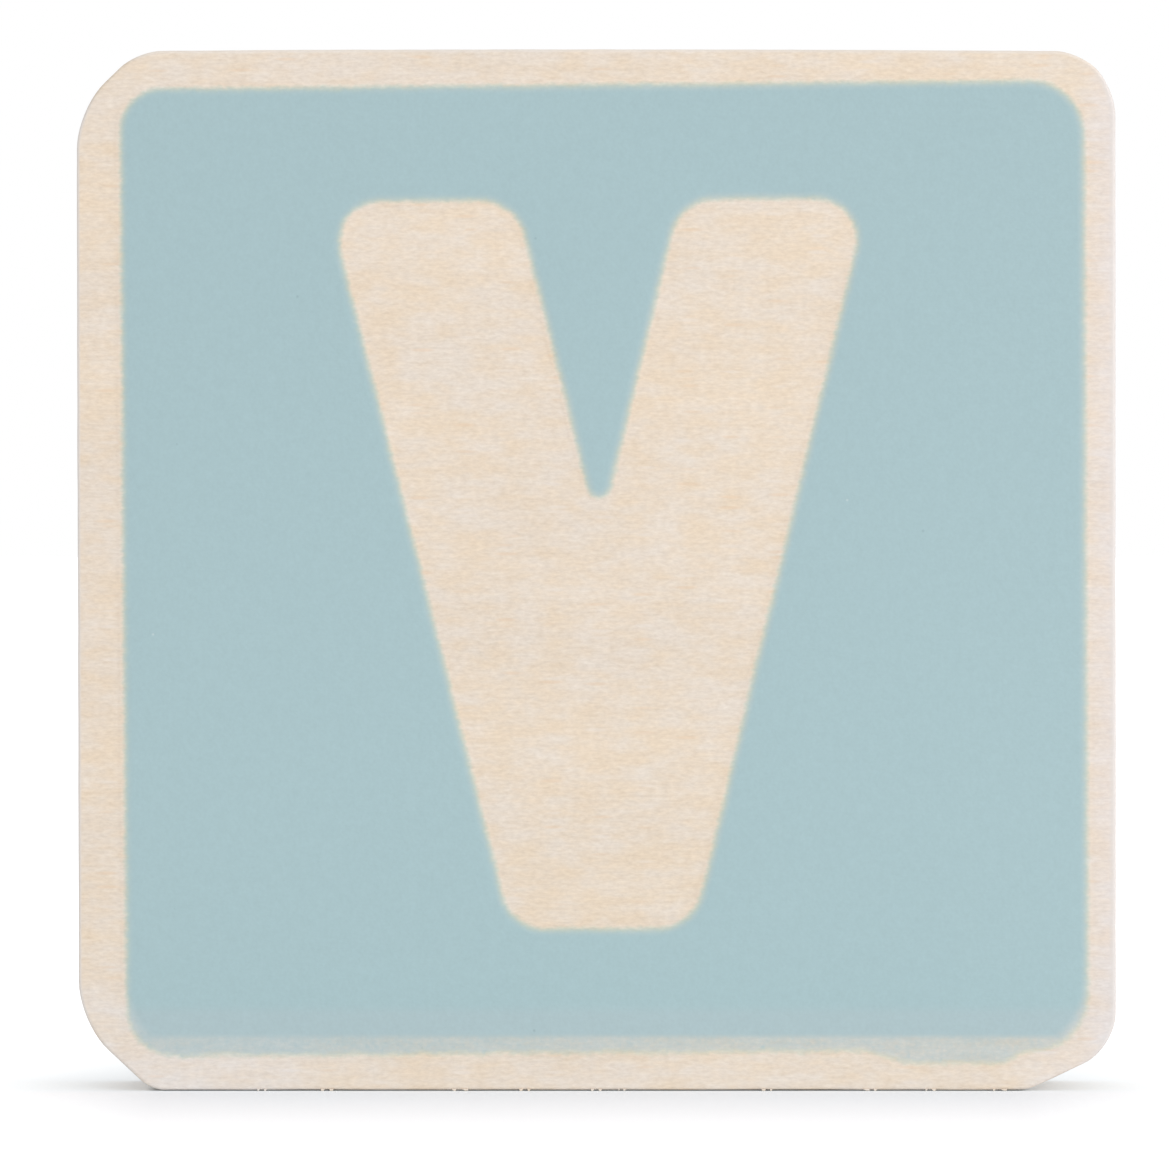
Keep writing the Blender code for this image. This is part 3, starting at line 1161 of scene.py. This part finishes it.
@dataclass
class Print:
    """The printed panel: two coats of ink that leave the letter bare, set a little askew."""

    turn: float = math.radians(0.37)
    width: float = 64.8 * MM
    centre_x: float = 0.65 * MM
    top: float = 67.86 * MM
    top_slant: float = 0.12 * MM
    top_reach: float = 0.1 * MM
    first_bottom: float = 2.6 * MM
    second_bottom: float = 3.66 * MM
    coat_step: float = 0.1 * MM
    bottom_left_radius: float = 3.1 * MM
    top_left_radius: float = 2.75 * MM
    top_right_radius: float = 3.7 * MM
    bottom_right_radius: float = 3.55 * MM
    second_rounder_left: float = 1.3 * MM
    second_rounder_right: float = 0.9 * MM
    panel_edge: float = 0.5 * MM
    panel_drift: Wave = Wave(9 * MM, 0.04 * MM, 9.0)
    run_height: float = 0.8 * MM
    run_waves: tuple[Wave, ...] = (Wave(2.2 * MM, 0.16 * MM, 7.0), Wave(0.8 * MM, 0.08 * MM, 8.0))
    smear_start: float = 17.8 * MM
    smear_full: float = 23.8 * MM
    smear_fading: float = 26.8 * MM
    smear_end: float = 29.5 * MM
    smear_depth: float = 0.92 * MM
    crisp_bottom: float = 1.6
    letter_centre_x: float = 0.35 * MM
    letter_bottom: float = 10.9 * MM
    letter_height: float = 49.3 * MM
    letter_width: float = 36.6 * MM
    letter_stroke: float = 12.8 * MM
    letter_foot: float = 12.4 * MM
    letter_rounding: float = 3.0 * MM
    crotch_rounding: float = 0.8 * MM
    letter_edge: float = 0.6 * MM
    letter_drift: Wave = Wave(4 * MM, 0.05 * MM, 12.0)
    feather: float = 0.48 * MM
    rings: int = 6
    nearly_all: float = 0.999
    lift: float = 0.004 * MM
    thin_edge: float = 0.005 * MM
    film: float = 0.03 * MM
    outlines: dict[str, np.ndarray] = field(default_factory=dict)

    def askew(self) -> Matrix:
        """Give the panel's turn about its middle.

        Returns:
            The turn, anticlockwise as seen from the front.
        """
        middle = Vector((self.centre_x, 0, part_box("core_ply")[1].z / 2))
        turn = Matrix.Translation(middle) @ Matrix.Rotation(-self.turn, 4, "Y")
        return turn @ Matrix.Translation(-middle)

    def trim(self, sheet: Piece) -> None:
        """Trim a ringed sheet level with the second coat's lower edge, in bands.

        Args:
            sheet: The second coat's flat sheet.
        """
        start = Vector((-self.width, self.second_bottom))
        end = Vector((self.width, self.second_bottom))
        with edit_mode(sheet):
            for band in range(self.rings + 1):
                growth = (1 - 2 * band / self.rings) * self.feather
                cut_away(sheet, start, end, growth, keep=band > 0)

    def cut_panel(self, name: str, coat: Coat) -> Piece:
        """Cut one coat's whole panel, grown by the soft edge, as a single face.

        Args:
            name: The sheet's name.
            coat: Which pass of the screen it is.

        Returns:
            The sheet.
        """
        grow = self.feather
        low_left, low_right = self.bottom_left_radius, self.bottom_right_radius
        if coat is Coat.SECOND:
            grow -= self.coat_step
            low_left += self.second_rounder_left
            low_right += self.second_rounder_right
        bottom = self.first_bottom - grow
        height = self.top + grow - bottom
        half = self.width / 2 + grow
        sheet = start_piece(
            name,
            bpy.ops.mesh.primitive_plane_add,
            Vector((2 * half, height, 1)),
            Vector((self.centre_x, 0, bottom + height / 2)),
            rotation=(QUARTER_TURN, 0, 0),
        )
        with edit_mode(sheet):
            for side, end, radius in (
                (-half, bottom, low_left),
                (half, bottom, low_right),
                (half, bottom + height, self.top_right_radius),
                (-half, bottom + height, self.top_left_radius),
            ):
                corner = Vector((self.centre_x + side, end))
                round_corner(sheet, corner, QUARTER_TURN, radius + grow)
            divide_outline(sheet, self.panel_edge)
        self.let_run(sheet, coat, bottom)
        sheet.data.transform(self.askew())
        return sheet

    def let_run(self, sheet: Piece, coat: Coat, bottom: float) -> None:
        """Make a sheet's edges uneven, and let the first coat run out below its lower edge.

        Args:
            sheet: The coat's flat sheet.
            coat: Which pass of the screen it is.
            bottom: Where the sheet's lower edge lies.
        """
        for vert in sheet.data.vertices:
            x = vert.co.x
            across = 2 * (x - self.centre_x) / self.width
            upward = (vert.co.z - bottom) / (self.top - bottom)
            low = max(0.0, 1 - (vert.co.z - bottom) / self.run_height)
            if coat is Coat.FIRST and low:
                rise = np.clip((x - self.smear_start) / (self.smear_full - self.smear_start), 0, 1)
                fall = np.clip((self.smear_end - x) / (self.smear_end - self.smear_fading), 0, 1)
                run = math.sin(rise * QUARTER_TURN) * ease(fall)
                vert.co.z -= low * self.smear_depth * run
                for wave in self.run_waves:
                    vert.co.z += low * wave.at(vert.co)
            reach = self.top_reach * upward * (1 + across) / 2
            vert.co.x += self.panel_drift.at(vert.co) + reach
            vert.co.z += self.panel_drift.at(vert.co, NEXT_SEED) + self.top_slant * upward * across

    def cut_letter(self, name: str, coat: Coat) -> Piece:
        """Cut the bare letter, grown by the soft edge, as a single face: a plain block V.

        Half of it is cut out of a plane and mirrored, and then each corner is rounded.

        Args:
            name: The sheet's name.
            coat: Which pass of the screen leaves it bare.

        Returns:
            The sheet.
        """
        grow = self.feather + (self.coat_step if coat is Coat.SECOND else 0.0)
        half = self.letter_width / 2
        foot = self.letter_foot / 2
        bottom = self.letter_bottom
        top = bottom + self.letter_height
        inner = half - self.letter_stroke
        crotch = top - inner * self.letter_height / (half - foot)
        sheet = start_piece(
            name,
            bpy.ops.mesh.primitive_plane_add,
            Vector((2 * self.letter_width, 2 * self.letter_height, 1)),
            Vector((0, 0, (bottom + top) / 2)),
            rotation=(QUARTER_TURN, 0, 0),
        )
        right_half = ((0, bottom), (foot, bottom), (half, top), (inner, top), (0, crotch))
        with edit_mode(sheet):
            cut_away(sheet, Vector((0, top)), Vector((0, bottom)))
            for start, end in zip(right_half, right_half[1:]):
                cut_away(sheet, Vector(start), Vector(end), grow)
        apply_modifier(sheet, "MIRROR", use_axis=(True, False, False), merge_threshold=TINY)
        with edit_mode(sheet):
            bpy.ops.mesh.select_all(action="SELECT")
            bpy.ops.mesh.dissolve_limited(angle_limit=FLAT_ANGLE)
        corners = [Vector(place) for place in front_loop(sheet)]
        with edit_mode(sheet):
            for corner, turn in zip(corners, turns(corners)):
                radius = self.letter_rounding + grow if turn > 0 else self.crotch_rounding - grow
                round_corner(sheet, corner, turn, radius)
            divide_outline(sheet, self.letter_edge)
        for vert in sheet.data.vertices:
            vert.co.x += self.letter_centre_x + self.letter_drift.at(vert.co)
            vert.co.z += self.letter_drift.at(vert.co, NEXT_SEED)
        sheet.data.transform(self.askew())
        return sheet

    def ring_in(self, sheet: Piece) -> None:
        """Inset a face in even rings across its soft edge.

        Args:
            sheet: A sheet of a single face.
        """
        with edit_mode(sheet):
            bpy.ops.mesh.select_mode(type="FACE")
            bpy.ops.mesh.select_all(action="SELECT")
            for _ in range(self.rings):
                bpy.ops.mesh.inset(thickness=2 * self.feather / self.rings, use_even_offset=True)

    def open_middle(self, sheet: Piece) -> None:
        """Take out a sheet's largest face and leave its edges.

        Args:
            sheet: The sheet.
        """
        largest = max(face.area for face in sheet.data.polygons)
        with edit_mode(sheet):
            pick(sheet, Element.FACES, lambda face: face.calc_area() > self.nearly_all * largest)
            bpy.ops.mesh.delete(type="ONLY_FACE")

    def edges(self, coat: Coat, places: np.ndarray) -> np.ndarray:
        """Measure how far places lie outside a coat's nominal edge.

        Args:
            coat: Which pass of the screen it is.
            places: X and Z of each place, one row each.

        Returns:
            One distance for each place, negative in the ink.
        """
        panel = edge_distance(places, self.outlines[f"{coat.value}_panel"]) + self.feather
        letter = edge_distance(places, self.outlines[f"{coat.value}_letter"]) + self.feather
        outside = np.maximum(panel, -letter)
        if coat is Coat.SECOND:
            below = self.crisp_bottom * (self.second_bottom - places[:, 1])
            outside = np.maximum(outside, below)
        return outside

    def cut_coat(self, coat: Coat) -> Piece:
        """Cut one coat as a flat sheet with fine rings of faces along its edges.

        Args:
            coat: Which pass of the screen it is.

        Returns:
            The sheet.
        """
        name = f"ink_{coat.value}_coat_film"
        sheet = self.cut_panel(name, coat)
        letter = self.cut_letter(f"{name}_letter", coat)
        self.outlines[f"{coat.value}_panel"] = front_loop(sheet)
        self.outlines[f"{coat.value}_letter"] = front_loop(letter)
        self.ring_in(sheet)
        self.ring_in(letter)
        if coat is Coat.SECOND:
            self.trim(sheet)
        self.open_middle(sheet)
        self.open_middle(letter)
        only(sheet)
        letter.select_set(True)
        bpy.ops.object.join()
        places = np.array([vert.co.xz for vert in sheet.data.vertices])
        in_ink = self.edges(coat, places) < 0
        with edit_mode(sheet):
            pick(
                sheet,
                Element.EDGES,
                lambda edge: edge.is_boundary and all(in_ink[vert.index] for vert in edge.verts),
            )
            bpy.ops.mesh.fill(use_beauty=True)
            bpy.ops.mesh.select_all(action="SELECT")
            bpy.ops.mesh.normals_make_consistent(inside=False)
            if bmesh.from_edit_mesh(sheet.data).faces[:][0].normal.y > 0:
                bpy.ops.mesh.flip_normals()
        return sheet

    def lay(self, sheet: Piece, coat: Coat) -> None:
        """Give a sheet its thickness, thinning to nothing at its edges, and store the distances.

        Args:
            sheet: The coat's flat sheet.
            coat: Which pass of the screen it is.
        """
        board_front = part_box("front_face_veneer")[0].y
        apply_modifier(sheet, "SOLIDIFY", thickness=self.film, offset=-1.0)
        mesh = sheet.data
        places = np.array([vert.co.xz for vert in mesh.vertices])
        distances = {each: self.edges(each, places) for each in Coat}

        def thickness(each: Coat) -> np.ndarray:
            """Give a coat's thickness at each place."""
            share = np.clip(MIDDLE - distances[each] / (2 * self.feather), 0, 1)
            return self.thin_edge + (self.film - self.thin_edge) * ease(share)

        back = np.full(len(places), self.lift)
        if coat is Coat.SECOND:
            back += thickness(Coat.FIRST) + self.lift
        front = back + thickness(coat)
        for vert, near, far in zip(mesh.vertices, back, front):
            is_front = vert.co.y < self.film / 2
            vert.co.y = board_front - (far if is_front else near)
        for each in Coat:
            store(sheet, f"{each.value}_edge", distances[each])

    def build(self, finishes: dict[str, Material]) -> None:
        """Build and dress both coats.

        Args:
            finishes: The material of each slot.
        """
        sheets = {coat: self.cut_coat(coat) for coat in Coat}
        slots = {Coat.FIRST: "pale_ink", Coat.SECOND: "full_ink"}
        for coat, sheet in sheets.items():
            self.lay(sheet, coat)
            slot = slots[coat]
            hand_over(sheet, f"ink_{coat.value}_coat", finishes[slot])


def set_up(data: bpy.types.Light | bpy.types.Camera, place: Vector, target: Vector) -> Piece:
    """Put a lamp or a camera in the scene, under its own name.

    Args:
        data: The lamp or camera.
        place: Where it stands.
        target: What it points at.

    Returns:
        The new object.
    """
    thing = bpy.data.objects.new(data.name, data)
    thing.location = place
    thing.rotation_mode = "QUATERNION"
    thing.rotation_quaternion = (target - place).to_track_quat("-Z", "Y")
    bpy.context.scene.collection.objects.link(thing)
    return thing


@dataclass(frozen=True)
class Softbox:
    """A square studio lamp with a soft front."""

    name: str
    place: Lengths
    size: float
    level: float

    def build(self, target: Vector) -> None:
        """Hang the lamp so that it lights a target at a plain level.

        Args:
            target: What the lamp points at.
        """
        data = bpy.data.lights.new(self.name, "AREA")
        data.shape = "SQUARE"
        data.size = self.size
        place = Vector(self.place)
        data.energy = self.level * (math.pi * (place - target).length) ** 2
        set_up(data, place, target)


@dataclass
class Studio:
    """The white floor, the soft lamps and the camera."""

    floor_size: float = 6.0
    floor_drop: float = 0.01 * MM
    floor_colour: Colour = (251, 247, 250)
    # painted: behind the tile's front the floor is tinted cool, cancelling the warm light that bounces
    # off the wood
    floor_cool: Colour = (239, 248, 255)
    cool_span: Span = (-10 * MM, -4 * MM)
    floor_glow: float = 1.2
    glow_share: float = 0.20
    glow_beside: float = 0.06
    # painted shade: under the tile's foot the glow is cut, which darkens the contact line
    glow_under: float = 0.3
    glow_aside: float = 38.0
    glow_ahead: float = 10.5
    foot_centre_x: float = -0.5 * MM
    foot_half_width: float = 28.8 * MM
    foot_half_depth: float = 6 * MM
    foot_soft_side: float = 1.2 * MM
    foot_soft_front: float = 0.1 * MM
    world_level: float = 0.66
    camera_distance: float = 0.75
    camera_height: float = 45 * MM
    aim_x: float = -0.7 * MM
    aim_z: float = 34.2 * MM
    frame_width: float = 78.9 * MM
    lamps: tuple[Softbox, ...] = (
        Softbox("front_softbox", (0.60, -1.00, 0.25), 0.6, 0.30),
        Softbox("right_softbox", (0.90, -0.20, 0.45), 0.6, 0.20),
        Softbox("back_softbox", (0.00, 0.60, 0.80), 0.8, 0.08),
    )

    def lay_floor(self) -> None:
        """Lay the white floor, which looks a little brighter than it is lit, and white far off."""
        floor = start_piece(
            "studio_floor",
            bpy.ops.mesh.primitive_plane_add,
            Vector((self.floor_size, self.floor_size, 1)),
            Vector((0, 0, -self.floor_drop)),
        )
        material = bpy.data.materials.new("studio_floor")
        nodes = Nodes(material)
        axes = nodes.axes(nodes.add("TexCoord", {})["Object"])
        # painted cool tint behind the tile's front, against the wood's warm bounce light
        beside = nodes.step(axes["Y"], *self.cool_span)
        colour = nodes.blend(beside, linear(self.floor_colour), linear(self.floor_cool))
        diffuse = nodes.add("BsdfDiffuse", {"Color": colour})[0]
        glow = nodes.add("Emission", {"Strength": self.floor_glow})[0]
        # painted shade: the glow is weaker near the tile and weakest under its foot, deepening the
        # contact shadow; behind the tile's front it glows a little more, lifting the shadow there
        share = nodes.maths("MULTIPLY_ADD", beside, self.glow_beside, self.glow_share)
        outside = self.glow_under
        for axis, middle, half, rate, soft in (
            ("X", self.foot_centre_x, self.foot_half_width, self.glow_aside, self.foot_soft_side),
            ("Y", 0.0, self.foot_half_depth, self.glow_ahead, self.foot_soft_front),
        ):
            offset = nodes.maths("ABSOLUTE", nodes.maths("SUBTRACT", axes[axis], middle))
            beyond = nodes.maths("SUBTRACT", offset, half)
            share = nodes.maths("MULTIPLY_ADD", nodes.maths("MAXIMUM", beyond, 0.0), rate, share)
            outside = nodes.maths("MAXIMUM", nodes.step(beyond, 0.0, soft), outside)
        share = nodes.times(nodes.maths("MINIMUM", share, 1.0), outside)
        share = nodes.times(share, self.seen(nodes))
        both = nodes.add("MixShader", {0: share, 1: diffuse, 2: glow})[0]
        nodes.add("OutputMaterial", {"Surface": both})
        floor.data.materials.append(material)
        floor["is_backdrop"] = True

    @staticmethod
    def seen(nodes: Nodes) -> Socket:
        """Tell rays that see a surface directly, in a reflection or through glass from the others.

        Args:
            nodes: The nodes of a material or world.

        Returns:
            1 on such a ray and 0 on the others.
        """
        path = nodes.add("LightPath", {})
        direct = nodes.maths("MAXIMUM", path["Is Camera Ray"], path["Is Glossy Ray"])
        return nodes.maths("MAXIMUM", direct, path["Is Transmission Ray"])

    def light_world(self) -> None:
        """Light the world evenly, and show it white."""
        world = bpy.data.worlds.new("studio_world")
        bpy.context.scene.world = world
        nodes = Nodes(world)
        unlit = 1 - self.world_level
        level = nodes.maths("MULTIPLY_ADD", self.seen(nodes), unlit, self.world_level)
        background = nodes.add("Background", {"Color": [1.0] * 4, "Strength": level})[0]
        nodes.add("OutputWorld", {"Surface": background})

    def set_camera(self) -> None:
        """Set the camera level with the tile's upper half, looking slightly down at its middle."""
        data = bpy.data.cameras.new("camera")
        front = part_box("front_face_veneer")[0].y
        aim = Vector((self.aim_x, front, self.aim_z))
        place = Vector((self.aim_x, front - self.camera_distance, self.camera_height))
        data.lens = data.sensor_width * (aim - place).length / self.frame_width
        bpy.context.scene.camera = set_up(data, place, aim)

    def build(self) -> None:
        """Build the whole studio."""
        self.lay_floor()
        self.light_world()
        low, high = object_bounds()
        for lamp in self.lamps:
            lamp.build((low + high) / 2)
        self.set_camera()
        bpy.context.scene.view_settings.view_transform = "Standard"


def make_finishes() -> dict[str, Material]:
    """Make the material of every slot in the record.

    Returns:
        The material of each slot.
    """
    face = WoodFinish(
        "face_veneer",
        (247, 238, 226),
        (221, 209, 194),
        (255, 247, 234),
        bleach=(
            PalePlace((20, 52, 88), 0.95, x=(32.2, 35.0)),
            # painted light: the lowest 4 mm paler and bluer, lifting the shade near the floor
            PalePlace((71, 63, 79), 0.3, z=(4.0, 1.0)),
            PalePlace((22, 52, 76), x=(-17.0, -23.0), z=(10.0, 5.5)),
            PalePlace((0, 44, 72), x=(28.0, 31.5), z=(6.5, 4.0)),
        ),
    )
    across, upright = Grain.ACROSS, Grain.UPRIGHT
    woods = (
        face,
        WoodFinish("back_veneer", (244, 231, 218), (216, 200, 184), (255, 245, 228), across, 40.0),
        WoodFinish("across_grain_ply", (240, 224, 205), (212, 191, 167), (255, 244, 224), across, 50.0),
        WoodFinish("upright_grain_ply", (232, 212, 189), (200, 176, 149), (255, 243, 221), upright, 60.0),
    )
    inks = (InkFinish("pale_ink", Coat.FIRST, face), InkFinish("full_ink", Coat.SECOND, face))
    return {
        **{wood.name: wood.material() for wood in woods},
        "glue": GlueFinish().material(),
        **{ink.name: ink.material() for ink in inks},
    }


def main() -> None:
    """Dress the whole tile and set up the studio."""
    logging.basicConfig(level=logging.INFO, format="%(name)s: %(message)s")
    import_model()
    finishes = make_finishes()
    Board().build(finishes)
    Print().build(finishes)
    Studio().build()


if __name__ == "__main__":
    main()
